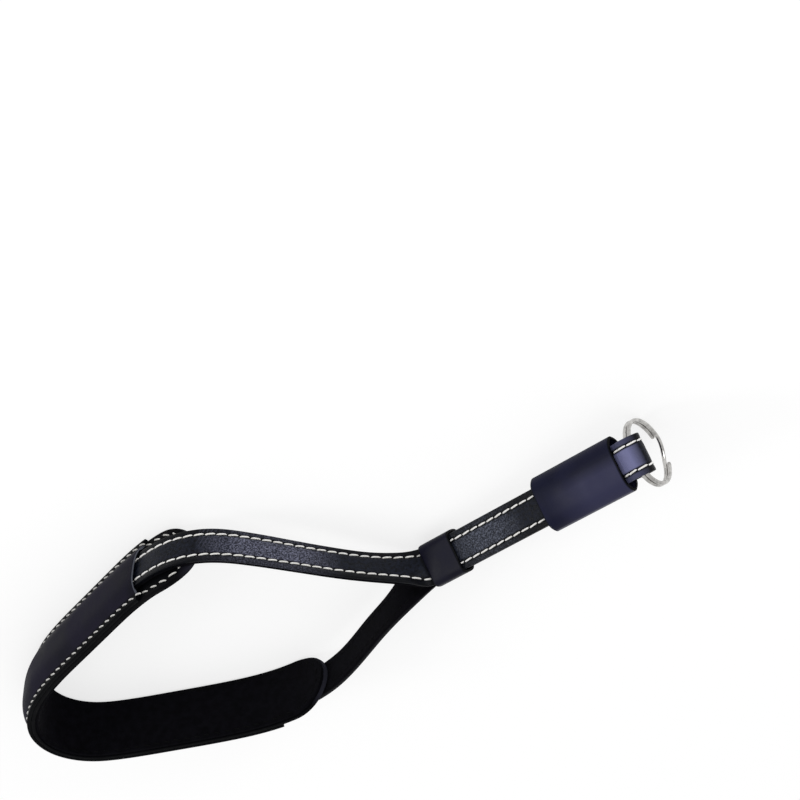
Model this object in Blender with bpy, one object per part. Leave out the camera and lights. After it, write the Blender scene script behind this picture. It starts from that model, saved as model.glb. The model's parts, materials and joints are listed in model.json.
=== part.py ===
"""Camera wrist strap: a padded leather loop that hangs from a small split ring.

One long strip, dress leather outside and suede inside, is folded round the
ring. Its two legs run back together through a guard sleeve and a slide
keeper, part into the wrist loop and pass through the tunnel of a wide pad.
The strap lies as it does on a table: on its long edge, with the loop level.
Metres, +Z up; the origin is at the middle of the foot of the whole object.
"""

import math

import bmesh
import bpy
import numpy as np
from mathutils import Vector

# The strip: two layers sewn back to back
STRAP_WIDTH = 0.0108
FACE_THICKNESS = 0.0008
SUEDE_THICKNESS = 0.0006
EDGE_ROUND = 0.00025
LAYER_GAP = 0.0003

# The tail: both legs side by side, rising from the keeper to the fold
FORK_DISTANCE = 0.0786
BUTT_DISTANCE = 0.0190
BUTT_GAP = 0.0004
FOLD_HEIGHT = 0.0152
TAIL_LEAN = -40.0
NECK_RADIUS = 0.0040

# The split ring: two turns of round wire
RING_MEAN_RADIUS = 0.0091
RING_WIRE = 0.0011
RING_COIL_GAP = 0.0001
RING_STEP_ANGLE = 50.0
RING_STEP_PLACE = 200.0
RING_RUNNING_GAP = 0.00022
RING_STEPS_PER_TURN = 40
RING_SIDES = 12

# The pad: base, suede against the wrist, and the cover that makes the tunnel
PAD_WIDTH = 0.0200
PAD_BASE_THICKNESS = 0.0012
PAD_SUEDE_THICKNESS = 0.0006
PAD_SUEDE_INSET = 0.0005
PAD_COVER_THICKNESS = 0.0009
PAD_ARCH_FULLNESS = 2.4
PAD_ARCH_SPREAD = 0.0006
PAD_END_ROUND = 0.0130
PAD_SEAM_MARGIN = 0.0018
PAD_NEAR_TIP = 0.0670
PAD_FAR_TIP = 0.0580
COVER_SETBACK = 0.0187
MOUTH_DEPTH = 0.0009
MOUTH_FADE = 0.0060

# The keeper and the guard sleeve: leather folded flat round the tail. The bore
# is level over both legs, then slopes down to a tight fold along each side.
TUBE_LOOSENESS = 0.0003
TUBE_SHOULDER_EASE = 0.0002
TUBE_CORNER = 0.0004
TUBE_FOLD_ROUND = 0.0005
TUBE_EDGE_EASE = 0.22
KEEPER_LENGTH = 0.0118
KEEPER_SIDE_ROOM = 0.0004
KEEPER_THICKNESS = 0.0009
SLEEVE_LENGTH = 0.0290
SLEEVE_SIDE_ROOM = 0.0016
SLEEVE_THICKNESS = 0.0009
SLEEVE_END_DISTANCE = 0.0043

# The route of the loop from the far side of the fork to the near side: plan
# places from the fork, as shares of the loop's length and breadth, the share
# of the climb from the fork to the middle of the pad, and the lean in degrees
LOOP_LENGTH = 0.1327
LOOP_BREADTH = 0.0739
LOOP_ROUTE = [
    (-0.1063, -0.0298, 0.40, 12.0),
    (-0.2570, -0.0893, 0.70, 2.0),
    (-0.3888, -0.1380, 0.98, 0.0),
    (-0.4943, -0.1407, 1.00, 0.0),
    (-0.5923, -0.0974, 1.00, 0.0),
    (-0.6903, -0.0135, 1.00, 0.0),
    (-0.8086, 0.1137, 1.00, 0.0),
    (-0.9141, 0.2355, 1.00, 0.0),
    (-0.9744, 0.3356, 1.00, 0.0),
    (-1.0000, 0.4682, 1.00, 0.0),
    (-0.9789, 0.5981, 1.00, 0.0),
    (-0.9277, 0.6874, 1.00, 0.0),
    (-0.8613, 0.7442, 1.00, 0.0),
    (-0.7769, 0.7821, 1.00, 0.0),
    (-0.6601, 0.8106, 1.00, 0.0),
    (-0.5260, 0.8390, 1.00, 0.0),
    (-0.3964, 0.8593, 1.00, 0.0),
    (-0.3037, 0.8417, 1.00, 0.0),
    (-0.2359, 0.7740, 1.00, 0.0),
    (-0.1899, 0.6644, 1.00, 3.0),
    (-0.1575, 0.5332, 0.88, 6.0),
    (-0.1289, 0.4060, 0.75, 8.5),
    (-0.1047, 0.2923, 0.54, 10.0),
    (-0.0791, 0.1894, 0.33, 11.0),
    (-0.0482, 0.0893, 0.07, 5.0),
    (-0.0151, 0.0230, 0.00, -24.0),
]

# How finely the curves are cut into faces
PATH_SAMPLE = 0.0005
STRIP_STEP = 0.0034
PAD_STEP = 0.0046
MOST_BEND = math.radians(15.0)
MOST_TWIST = math.radians(5.0)
TUBE_CORNER_STEPS = 3
COVER_ARCH_STATIONS = (0.0, 0.35, 0.58, 0.84, 0.95)
END_STATIONS = (0.012, 0.05, 0.12, 0.22, 0.36, 0.54, 0.76)

LEATHER_BLACK = (0.020, 0.021, 0.028)
LEATHER_CHARCOAL = (0.026, 0.025, 0.034)
SUEDE_BLACK = (0.004, 0.004, 0.005)
NICKEL = (0.72, 0.72, 0.70)

UP = Vector((0.0, 0.0, 1.0))


def clear_scene():
    """Remove whatever the scene already holds."""
    for old in list(bpy.data.objects):
        bpy.data.objects.remove(old, do_unlink=True)


def make_material(name, colour, roughness, metallic=0.0):
    """Return a plain material in the piece's own colour."""
    material = bpy.data.materials.new(name)
    material.use_nodes = True
    shader = material.node_tree.nodes["Principled BSDF"]
    shader.inputs["Base Color"].default_value = (*colour, 1.0)
    shader.inputs["Roughness"].default_value = roughness
    shader.inputs["Metallic"].default_value = metallic
    return material


def leaned_up(tangent, lean):
    """Return the width direction: up, square to the tangent, leaned over."""
    upright = (UP - UP.dot(tangent) * tangent).normalized()
    sideways = upright.cross(tangent)
    return upright * math.cos(lean) + sideways * math.sin(lean)


# Half the stack of layers, from the seam of one leg outwards and inwards
SEAM_TO_FACE = LAYER_GAP / 2 + FACE_THICKNESS
SEAM_TO_SUEDE = LAYER_GAP / 2 + SUEDE_THICKNESS
LEG_OFFSET = LAYER_GAP / 2 + SEAM_TO_SUEDE
TAIL_HALF_THICKNESS = LEG_OFFSET + SEAM_TO_FACE

BORE_HALF_HEIGHT = TAIL_HALF_THICKNESS + TUBE_LOOSENESS
LEAN_ANGLE = math.radians(TAIL_LEAN)


def tube_outline(side_room, growth):
    """Return the outline of a flat tube's bore, grown outwards by its wall."""
    corner = (STRAP_WIDTH / 2 + TUBE_SHOULDER_EASE - TUBE_CORNER, BORE_HALF_HEIGHT - TUBE_CORNER)
    fold = (STRAP_WIDTH / 2 + side_room - TUBE_FOLD_ROUND, 0.0)
    apart = math.dist(corner, fold)
    turn = math.acos((TUBE_CORNER - TUBE_FOLD_ROUND) / apart)
    turn -= math.atan2(corner[1], fold[0] - corner[0])
    upper_right = []
    for centre, radius, start, end in (
        (fold, TUBE_FOLD_ROUND + growth, 0.0, turn),
        (corner, TUBE_CORNER + growth, turn, math.pi / 2),
    ):
        for i in range(TUBE_CORNER_STEPS + 1):
            angle = start + (end - start) * i / TUBE_CORNER_STEPS
            across = centre[0] + radius * math.cos(angle)
            upper_right.append((across, centre[1] + radius * math.sin(angle)))
    upper = upper_right + [(-across, out) for across, out in reversed(upper_right)]
    return upper + [(across, -out) for across, out in reversed(upper[1:-1])]


# The keeper's lower corner stands on the table, and the tail rises from there
KEEPER_DROP = max(
    across * math.cos(LEAN_ANGLE) - out * math.sin(LEAN_ANGLE)
    for across, out in tube_outline(KEEPER_SIDE_ROOM, KEEPER_THICKNESS)
)
TAIL_RISE = math.asin((FOLD_HEIGHT - KEEPER_DROP) / FORK_DISTANCE)

# The tail's own directions: along it to the ring, across its width, and out
# of the face of the near leg
TAIL_ALONG = Vector((math.cos(TAIL_RISE), 0.0, math.sin(TAIL_RISE)))
TAIL_WIDTH = leaned_up(TAIL_ALONG, LEAN_ANGLE)
TAIL_OUT = TAIL_WIDTH.cross(TAIL_ALONG)
FOLD_CENTRE = Vector((0.0, 0.0, FOLD_HEIGHT))

# The ring's wire bows inside the fold by this much over the strap's width
RING_BOW = RING_MEAN_RADIUS - math.sqrt(RING_MEAN_RADIUS ** 2 - (STRAP_WIDTH / 2) ** 2)
RING_HANG = RING_MEAN_RADIUS - RING_BOW / 2
RING_COIL_PITCH = RING_WIRE + RING_COIL_GAP
FOLD_BORE = math.hypot(RING_COIL_PITCH / 2, RING_BOW / 2) + RING_WIRE / 2 + RING_RUNNING_GAP
FOLD_RADIUS = FOLD_BORE + SEAM_TO_SUEDE


def tail_point(distance, offset):
    """Return a point so far back from the fold and so far out of the axis."""
    return FOLD_CENTRE - TAIL_ALONG * distance + TAIL_OUT * offset


class Route:
    """A curve with a width direction, read at any distance along it."""

    def __init__(self, points, widths):
        self.points = points
        self.widths = widths
        self.distances = [0.0]
        for start, end in zip(points, points[1:]):
            self.distances.append(self.distances[-1] + (end - start).length)
        self.length = self.distances[-1]

    def at(self, distance):
        """Return the place, and the width, out and along directions there."""
        distance = min(max(distance, 0.0), self.length)
        index = int(np.searchsorted(self.distances, distance)) - 1
        index = min(max(index, 0), len(self.points) - 2)
        span = self.distances[index + 1] - self.distances[index]
        share = (distance - self.distances[index]) / span
        place = self.points[index].lerp(self.points[index + 1], share)
        before = self.points[max(index - 1, 0)]
        after = self.points[min(index + 2, len(self.points) - 1)]
        along = (after - before).normalized()
        width = self.widths[index].lerp(self.widths[index + 1], share)
        width = (width - width.dot(along) * along).normalized()
        return place, width, width.cross(along), along


def clamped_spline(knots, start_slope, end_slope, sample):
    """Return points on the smooth curve through the knots, a sample apart.

    Height and lean hold still between two knots that share them.
    """
    knots = np.array(knots)
    spans = np.linalg.norm(np.diff(knots[:, :3], axis=0), axis=1)
    count = len(knots)
    system = np.zeros((count, count))
    target = np.zeros(knots.shape)
    system[0, 0] = 1.0
    system[-1, -1] = 1.0
    target[0] = start_slope
    target[-1] = end_slope
    for i in range(1, count - 1):
        before, after = spans[i - 1], spans[i]
        system[i, i - 1:i + 2] = (after, 2 * (before + after), before)
        rise_before = (knots[i] - knots[i - 1]) / before
        rise_after = (knots[i + 1] - knots[i]) / after
        target[i] = 3 * (after * rise_before + before * rise_after)
    slopes = np.linalg.solve(system, target)
    for i in range(1, count - 1):
        level = (knots[i, 2:] == knots[i - 1, 2:]) | (knots[i, 2:] == knots[i + 1, 2:])
        slopes[i, 2:][level] = 0.0
    curve = []
    for i, span in enumerate(spans):
        for t in np.linspace(0, 1, max(2, round(span / sample)), endpoint=False):
            curve.append(
                (2 * t ** 3 - 3 * t ** 2 + 1) * knots[i]
                + (t ** 3 - 2 * t ** 2 + t) * span * slopes[i]
                + (3 * t ** 2 - 2 * t ** 3) * knots[i + 1]
                + (t ** 3 - t ** 2) * span * slopes[i + 1]
            )
    curve.append(knots[-1])
    return curve


def loop_stretch():
    """Return the loop's points and widths, from the far fork to the near."""
    far_fork = tail_point(FORK_DISTANCE, -LEG_OFFSET)
    near_fork = tail_point(FORK_DISTANCE, LEG_OFFSET)
    fork = tail_point(FORK_DISTANCE, 0.0)
    knots = [(*far_fork, -LEAN_ANGLE)]
    for i, (length_share, breadth_share, climb, lean) in enumerate(LOOP_ROUTE):
        start = far_fork if i < len(LOOP_ROUTE) / 2 else near_fork
        x = fork.x + length_share * LOOP_LENGTH
        y = fork.y + breadth_share * LOOP_BREADTH
        height = start.z + climb * (PAD_WIDTH / 2 - start.z)
        knots.append((x, y, height, math.radians(lean)))
    knots.append((*near_fork, LEAN_ANGLE))
    curve = clamped_spline(knots, (*-TAIL_ALONG, 0.0), (*TAIL_ALONG, 0.0), PATH_SAMPLE)
    points = [Vector(knot[:3]) for knot in curve]
    widths = []
    for i, knot in enumerate(curve):
        before = points[max(i - 1, 0)]
        after = points[min(i + 1, len(points) - 1)]
        widths.append(leaned_up((after - before).normalized(), knot[3]))
    return points, widths


def arc(centre, radius, start, end):
    """Return points on an arc in the tail's side view, angles in radians."""
    count = max(4, round(abs(end - start) * radius / PATH_SAMPLE))
    angles = [start + (end - start) * i / count for i in range(count + 1)]
    return [(centre[0] + radius * math.cos(a), centre[1] + radius * math.sin(a)) for a in angles]


def fold_stretch():
    """Return the drop-shaped turn round the ring, from near leg to far leg."""
    rise = LEG_OFFSET + NECK_RADIUS
    neck_distance = math.sqrt((FOLD_RADIUS + NECK_RADIUS) ** 2 - rise ** 2)
    turn = math.atan2(neck_distance, rise)
    quarter = math.pi / 2
    neck = arc((-neck_distance, rise), NECK_RADIUS, -quarter, turn - quarter)
    drop = arc((0.0, 0.0), FOLD_RADIUS, quarter + turn, -quarter - turn)
    far_neck = [(x, -offset) for x, offset in reversed(neck)]
    outline = neck[:-1] + drop + far_neck[1:]
    return [tail_point(-x, offset) for x, offset in outline], neck_distance


def straight_points(start, end, offset):
    """Return evenly spaced points along the tail."""
    count = max(2, round(abs(end - start) / PATH_SAMPLE))
    return [tail_point(start + (end - start) * i / count, offset) for i in range(count + 1)]


def strip_route():
    """Return the whole route of the strip's seam, from butt to butt."""
    fold, neck_distance = fold_stretch()
    loop, loop_widths = loop_stretch()
    far_run = straight_points(BUTT_DISTANCE + BUTT_GAP / 2, FORK_DISTANCE, -LEG_OFFSET)
    near_run = straight_points(FORK_DISTANCE, neck_distance, LEG_OFFSET)
    last_run = straight_points(neck_distance, BUTT_DISTANCE - BUTT_GAP / 2, -LEG_OFFSET)
    points = far_run[:-1] + loop + near_run[1:-1] + fold + last_run[1:]
    widths = [TAIL_WIDTH] * (len(far_run) - 1) + loop_widths
    widths += [TAIL_WIDTH] * (len(points) - len(widths))
    loop_start = FORK_DISTANCE - BUTT_DISTANCE - BUTT_GAP / 2
    loop_length = sum((b - a).length for a, b in zip(loop, loop[1:]))
    return Route(points, widths), loop_start, loop_start + loop_length


def curved_stations(route, start, end, step, finest=0.2):
    """Return distances along a route, closer together where it bends or twists."""
    stations = [start]
    while stations[-1] < end:
        here = stations[-1]
        _, width, _, along = route.at(here)
        _, next_width, _, next_along = route.at(min(here + step, end))
        turns = along.angle(next_along) / MOST_BEND + width.angle(next_width) / MOST_TWIST
        stations.append(here + step * max(finest, min(1.0, 1.0 / max(turns, 1e-6))))
    if end - stations[-2] < step * finest / 2:
        stations.pop()
    stations[-1] = end
    return stations


def band_section(width, low, high, edge):
    """Return a flat section with eased edges, as (across, out) points."""
    half = width / 2
    return [
        (-half + edge, low), (0.0, low), (half - edge, low),
        (half, low + edge), (half, high - edge),
        (half - edge, high), (0.0, high), (-half + edge, high),
        (-half, high - edge), (-half, low + edge),
    ]


def loft(name, rings, material, closed=False):
    """Skin a row of point rings into one body: capped, or closed on itself."""
    mesh = bmesh.new()
    rows = [[mesh.verts.new(point) for point in ring] for ring in rings]
    pairs = list(zip(rows, rows[1:]))
    if closed:
        pairs.append((rows[-1], rows[0]))
    else:
        mesh.faces.new(list(reversed(rows[0])))
        mesh.faces.new(rows[-1])
    for here, there in pairs:
        for i in range(len(here)):
            j = (i + 1) % len(here)
            mesh.faces.new((here[i], here[j], there[j], there[i]))
    if mesh.calc_volume(signed=True) < 0:
        bmesh.ops.reverse_faces(mesh, faces=mesh.faces)
    return make_object(name, mesh, material)


def make_object(name, mesh, material):
    """Turn a bmesh into a smooth-shaded object in the scene."""
    data = bpy.data.meshes.new(name)
    mesh.to_mesh(data)
    mesh.free()
    data.materials.append(material)
    data.shade_smooth()
    data.set_sharp_from_angle(angle=math.radians(40.0))
    piece = bpy.data.objects.new(name, data)
    bpy.context.scene.collection.objects.link(piece)
    return piece


def place_on_route(route, distance, across, out):
    """Return the point at a distance along, across and out of a route."""
    place, width, outward, _ = route.at(distance)
    return place + width * across + outward * out


def make_strip_layer(name, route, low, high, material):
    """Sweep one layer of the strip along the whole route."""
    section = band_section(STRAP_WIDTH, low, high, EDGE_ROUND)
    rings = []
    for distance in curved_stations(route, 0.0, route.length, STRIP_STEP):
        rings.append([place_on_route(route, distance, across, out) for across, out in section])
    return loft(name, rings, material)


def rounded_end_share(distance, tips):
    """Return how much of the full width a round-ended sheet has there."""
    from_tip = min(distance - tips[0], tips[1] - distance)
    if from_tip >= PAD_END_ROUND:
        return 1.0
    inward = 1.0 - from_tip / PAD_END_ROUND
    return math.sqrt(max(0.0, 1.0 - inward ** 2))


def rounded_stations(route, tips):
    """Return stations that crowd towards both round ends."""
    ends = [PAD_END_ROUND * share for share in END_STATIONS]
    middle = curved_stations(route, tips[0] + PAD_END_ROUND, tips[1] - PAD_END_ROUND, PAD_STEP)
    return [tips[0] + end for end in ends] + middle + [tips[1] - end for end in reversed(ends)]


def make_pad_sheet(name, route, tips, width, low, high, material):
    """Sweep a flat sheet with two round ends along the pad's stretch."""
    rings = []
    for distance in rounded_stations(route, tips):
        here = width * rounded_end_share(distance, tips)
        section = band_section(here, low, high, EDGE_ROUND)
        rings.append([place_on_route(route, distance, across, out) for across, out in section])
    return loft(name, rings, material)


def arch(share):
    """Return the height of the moulded cover, as a share, so far out to its seam."""
    return (1.0 - share ** PAD_ARCH_FULLNESS) ** (1.0 / PAD_ARCH_FULLNESS)


def cover_section():
    """Return the pad cover's arched section, as (across, out) points."""
    edge = PAD_WIDTH / 2
    seam = edge - PAD_SEAM_MARGIN
    low = -SEAM_TO_SUEDE
    low_top = low + PAD_COVER_THICKNESS
    shoulder = (STRAP_WIDTH / 2 + LAYER_GAP) / seam
    rise = (SEAM_TO_FACE + LAYER_GAP - low) / arch(shoulder)
    shares = sorted((*COVER_ARCH_STATIONS, shoulder, 1.0))
    under = [(seam * share, low + rise * arch(share)) for share in shares]
    under.append((edge, low))
    over = [((seam + PAD_ARCH_SPREAD) * share, low_top + rise * arch(share)) for share in shares]
    over += [(edge - EDGE_ROUND, low_top), (edge, low_top - EDGE_ROUND)]
    under_left = [(-across, out) for across, out in under[1:]]
    over_left = [(-across, out) for across, out in reversed(over[1:])]
    return list(reversed(under)) + under_left + over_left + over


def make_pad_cover(route, tips, material):
    """Sweep the cover, with both mouths scooped back in the middle."""
    section = cover_section()
    mouths = (tips[0] + COVER_SETBACK, tips[1] - COVER_SETBACK)
    rings = []
    for distance in curved_stations(route, mouths[0], mouths[1], PAD_STEP):
        ring = []
        for across, out in section:
            scoop = MOUTH_DEPTH * (1.0 - (2 * across / PAD_WIDTH) ** 2)
            shift = scoop * max(0.0, 1.0 - (distance - mouths[0]) / MOUTH_FADE)
            shift -= scoop * max(0.0, 1.0 - (mouths[1] - distance) / MOUTH_FADE)
            ring.append(place_on_route(route, distance + shift, across, out))
        rings.append(ring)
    return loft("pad_cover", rings, material)


def make_tube(name, start, length, side_room, thickness, material):
    """Make a flat leather tube round the tail, its origin on the tail's axis."""
    ease = thickness * TUBE_EDGE_EASE
    rows = []
    for wall, end in ((0, -1), (1, -1), (1, 1), (0, 1)):
        reach = thickness * wall
        inset = ease if wall else -ease
        corners = ((reach, ease), (reach - inset, 0.0))
        if (wall, end) in ((1, -1), (0, 1)):
            corners = tuple(reversed(corners))
        for growth, back in corners:
            along = end * (length / 2 - back)
            outline = tube_outline(side_room, growth)
            rows.append([TAIL_ALONG * along + TAIL_WIDTH * a + TAIL_OUT * o for a, o in outline])
    tube = loft(name, rows, material, closed=True)
    tube.location = tail_point(start + length / 2, 0.0)
    return tube


def ring_directions():
    """Return the ring's own frame as it hangs: down, and along its axis."""
    down = (-UP + UP.dot(TAIL_WIDTH) * TAIL_WIDTH).normalized()
    return down, TAIL_WIDTH.cross(down)


def make_split_ring(material):
    """Wind two turns of wire with one step between them."""
    down, axis = ring_directions()
    step = math.radians(RING_STEP_ANGLE)
    place = math.radians(RING_STEP_PLACE)
    total = 4 * math.pi - step
    count = round(total / (2 * math.pi) * RING_STEPS_PER_TURN)
    centre = down * RING_HANG
    rings = []
    for i in range(count + 1):
        turn = total * i / count
        climb = min(1.0, max(0.0, (turn - (2 * math.pi - step)) / step))
        climb = climb * climb * (3 - 2 * climb)
        height = RING_COIL_PITCH * (climb - 0.5)
        radial = -down * math.cos(turn + place) + TAIL_WIDTH * math.sin(turn + place)
        middle = centre + radial * RING_MEAN_RADIUS + axis * height
        ring = []
        for side in range(RING_SIDES):
            angle = 2 * math.pi * side / RING_SIDES
            ring.append(middle + (radial * math.cos(angle) + axis * math.sin(angle)) * RING_WIRE / 2)
        rings.append(ring)
    ring = loft("split_ring", rings, material)
    ring.location = FOLD_CENTRE
    return ring


def centre_on_foot(pieces):
    """Move every piece so that the origin is under the middle of the whole."""
    corners = [piece.matrix_world @ vertex.co for piece in pieces for vertex in piece.data.vertices]
    low = Vector(min(corner[axis] for corner in corners) for axis in range(3))
    high = Vector(max(corner[axis] for corner in corners) for axis in range(3))
    foot = Vector(((low.x + high.x) / 2, (low.y + high.y) / 2, low.z))
    for piece in pieces:
        piece.location -= foot


clear_scene()
face_leather = make_material("strap_leather", LEATHER_BLACK, 0.42)
pad_leather = make_material("pad_leather", LEATHER_BLACK, 0.55)
trim_leather = make_material("trim_leather", LEATHER_CHARCOAL, 0.6)
suede = make_material("suede", SUEDE_BLACK, 0.95)
nickel = make_material("nickel_steel", NICKEL, 0.2, 1.0)

route, loop_start, loop_end = strip_route()
pad_tips = (loop_start + PAD_FAR_TIP, loop_end - PAD_NEAR_TIP)
base_top = -SEAM_TO_SUEDE - LAYER_GAP
base_foot = base_top - PAD_BASE_THICKNESS
suede_top = base_foot - LAYER_GAP

pieces = [
    make_strip_layer("strap_face", route, LAYER_GAP / 2, SEAM_TO_FACE, face_leather),
    make_strip_layer("strap_lining", route, -SEAM_TO_SUEDE, -LAYER_GAP / 2, suede),
    make_pad_sheet("pad_base", route, pad_tips, PAD_WIDTH, base_foot, base_top, pad_leather),
    make_pad_sheet(
        "pad_lining", route, (pad_tips[0] + PAD_SUEDE_INSET, pad_tips[1] - PAD_SUEDE_INSET),
        PAD_WIDTH - 2 * PAD_SUEDE_INSET, suede_top - PAD_SUEDE_THICKNESS, suede_top, suede,
    ),
    make_pad_cover(route, pad_tips, pad_leather),
    make_tube(
        "slide_keeper", FORK_DISTANCE - KEEPER_LENGTH, KEEPER_LENGTH,
        KEEPER_SIDE_ROOM, KEEPER_THICKNESS, trim_leather,
    ),
    make_tube(
        "guard_sleeve", SLEEVE_END_DISTANCE, SLEEVE_LENGTH,
        SLEEVE_SIDE_ROOM, SLEEVE_THICKNESS, trim_leather,
    ),
    make_split_ring(nickel),
]
bpy.context.view_layer.update()
centre_on_foot(pieces)
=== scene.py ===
"""The camera wrist strap, dressed: grained leather, suede, waxed thread and a bright ring."""

import json
import math

import bpy
import numpy as np
from mathutils import Matrix, Vector


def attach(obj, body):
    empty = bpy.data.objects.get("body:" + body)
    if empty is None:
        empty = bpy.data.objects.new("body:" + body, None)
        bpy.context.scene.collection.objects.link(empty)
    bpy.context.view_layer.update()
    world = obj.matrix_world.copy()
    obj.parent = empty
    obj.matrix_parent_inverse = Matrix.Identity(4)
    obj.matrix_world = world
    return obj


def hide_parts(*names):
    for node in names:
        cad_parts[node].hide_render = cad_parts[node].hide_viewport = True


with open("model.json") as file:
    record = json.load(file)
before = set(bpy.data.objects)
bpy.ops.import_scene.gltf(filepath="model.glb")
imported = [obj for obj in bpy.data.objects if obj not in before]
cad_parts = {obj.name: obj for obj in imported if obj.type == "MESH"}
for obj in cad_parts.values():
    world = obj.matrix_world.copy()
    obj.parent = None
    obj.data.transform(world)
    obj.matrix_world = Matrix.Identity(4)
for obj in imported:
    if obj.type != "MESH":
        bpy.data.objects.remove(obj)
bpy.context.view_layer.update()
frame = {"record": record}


# Picture: the strap is seen from above and behind its ring, upside down, through
# a long lens. The camera's place and its two directions are in the strap's frame.
CAMERA_PLACE = Vector((0.39883, 0.32141, 0.38213))
CAMERA_BACK = Vector((0.56342, 0.50749, 0.65193))
PICTURE_UP = Vector((0.49248, 0.42727, -0.75822))
LENS_LENGTH = 100.9


def add_object(name, data):
    """Add an object to the scene and return it."""
    added = bpy.data.objects.new(name, data)
    bpy.context.scene.collection.objects.link(added)
    return added


picture_right = PICTURE_UP.cross(CAMERA_BACK).normalized()
picture_up = CAMERA_BACK.cross(picture_right).normalized()
camera_data = bpy.data.cameras.new("camera")
camera_data.sensor_width = 36.0
camera_data.lens = LENS_LENGTH
camera_data.clip_start = 0.01
camera = add_object("camera", camera_data)
turn = Matrix((picture_right, picture_up, CAMERA_BACK.normalized())).transposed()
camera.matrix_world = Matrix.Translation(CAMERA_PLACE) @ turn.to_4x4()
bpy.context.scene.camera = camera
bpy.context.scene.view_settings.view_transform = "Standard"


# Table: a broad white sheet under the strap, which runs on past the picture on
# all sides. It shows white, and keeps the strap's soft shadow.
TABLE_REACH = 4.0
TABLE_DROP = 0.0001
TABLE_WHITE = 0.90
TABLE_GLOW = 0.62
TABLE_BRIGHT = 1.14


def add_node(tree, kind, **settings):
    """Add a node to a tree: settings name its own properties or its inputs, and sockets are linked."""
    node = tree.nodes.new(kind)
    for name, value in settings.items():
        if isinstance(value, bpy.types.NodeSocket):
            tree.links.new(value, node.inputs[name.replace("_", " ")])
        elif hasattr(node, name):
            setattr(node, name, value)
        else:
            node.inputs[name.replace("_", " ")].default_value = value
    return node


def add_math(tree, operation, *values):
    """Add a math node, linking what is a socket and setting what is a number."""
    node = tree.nodes.new("ShaderNodeMath")
    node.operation = operation
    for i, value in enumerate(values):
        if isinstance(value, (int, float)):
            node.inputs[i].default_value = value
        else:
            tree.links.new(value, node.inputs[i])
    return node.outputs[0]


def show_mix(tree, share, lighting, shown, output):
    """Mix in a share of the shader that the eye, a mirror or a glass is to see."""
    path = add_node(tree, "ShaderNodeLightPath").outputs
    mirrored = add_math(tree, "MAXIMUM", path["Is Glossy Ray"], path["Is Transmission Ray"])
    seen = add_math(tree, "MAXIMUM", path["Is Camera Ray"], mirrored)
    mix = add_node(tree, "ShaderNodeMixShader")
    amount = add_math(tree, "MULTIPLY", seen, share)
    for i, value in enumerate((amount, lighting.outputs[0], shown.outputs[0])):
        tree.links.new(value, mix.inputs[i])
    tree.links.new(mix.outputs[0], add_node(tree, output).inputs[0])


table_mesh = bpy.data.meshes.new("table_top")
table_mesh.from_pydata(
    [(x * TABLE_REACH, y * TABLE_REACH, -TABLE_DROP) for x, y in ((-1, -1), (1, -1), (1, 1), (-1, 1))],
    [], [(0, 1, 2, 3)],
)
table_finish = bpy.data.materials.new("table_white")
table_finish.use_nodes = True
tree = table_finish.node_tree
tree.nodes.clear()
matt_white = add_node(tree, "ShaderNodeBsdfDiffuse", Color=(TABLE_WHITE, TABLE_WHITE, TABLE_WHITE, 1.0))
plain_white = add_node(tree, "ShaderNodeEmission", Strength=TABLE_BRIGHT)
show_mix(tree, TABLE_GLOW, matt_white, plain_white, "ShaderNodeOutputMaterial")
table_mesh.materials.append(table_finish)
table_top = add_object("table_top", table_mesh)


# Light: an even white room, and two broad soft lamps, one beyond the loop that
# grazes the faces of the tail and one over the ring's end.
ROOM_LEVEL = 0.92
LAMP_DISTANCE = 1.2
OBJECT_MIDDLE = Vector((0.0, 0.0, 0.010))

room = bpy.data.worlds.new("room")
bpy.context.scene.world = room
room.use_nodes = True
tree = room.node_tree
tree.nodes.clear()
room_light = add_node(tree, "ShaderNodeBackground", Strength=ROOM_LEVEL)
room_white = add_node(tree, "ShaderNodeBackground", Strength=1.0)
show_mix(tree, 1.0, room_light, room_white, "ShaderNodeOutputWorld")


def hang_lamp(name, direction, size, power):
    """Hang a square lamp in a direction from the strap, facing it."""
    lamp_data = bpy.data.lights.new(name, "AREA")
    lamp_data.size = size
    lamp_data.energy = power
    lamp = add_object(name, lamp_data)
    lamp.location = OBJECT_MIDDLE + Vector(direction).normalized() * LAMP_DISTANCE
    lamp.rotation_euler = Vector(direction).to_track_quat("Z", "Y").to_euler()


hang_lamp("far_lamp", (-0.66, 0.64, 0.39), size=0.30, power=3.0)
hang_lamp("ring_lamp", (0.90, 0.30, 0.22), size=0.40, power=4.5)


# Strip: one long strap of two layers, folded round the ring. Both legs run back
# side by side, part at the keeper into the loop, and pass through the pad.
STRAP_WIDTH = 0.0108
FACE_THICKNESS = 0.0008
SUEDE_THICKNESS = 0.0006
SEAM_GAP = 0.0003
FORK_DISTANCE = 0.0786
BUTT_DISTANCE = 0.0190
BUTT_GAP = 0.0004
TAIL_LEAN = math.radians(-40.0)
NECK_RADIUS = 0.0040
RING_MEAN_RADIUS = 0.0091
RING_WIRE = 0.0011
RING_COIL_GAP = 0.0001
RING_RUNNING_GAP = 0.00022
PAD_WIDTH = 0.0200
ROUTE_SAMPLE = 0.0005
SHARP_ANGLE = math.radians(50.0)

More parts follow.
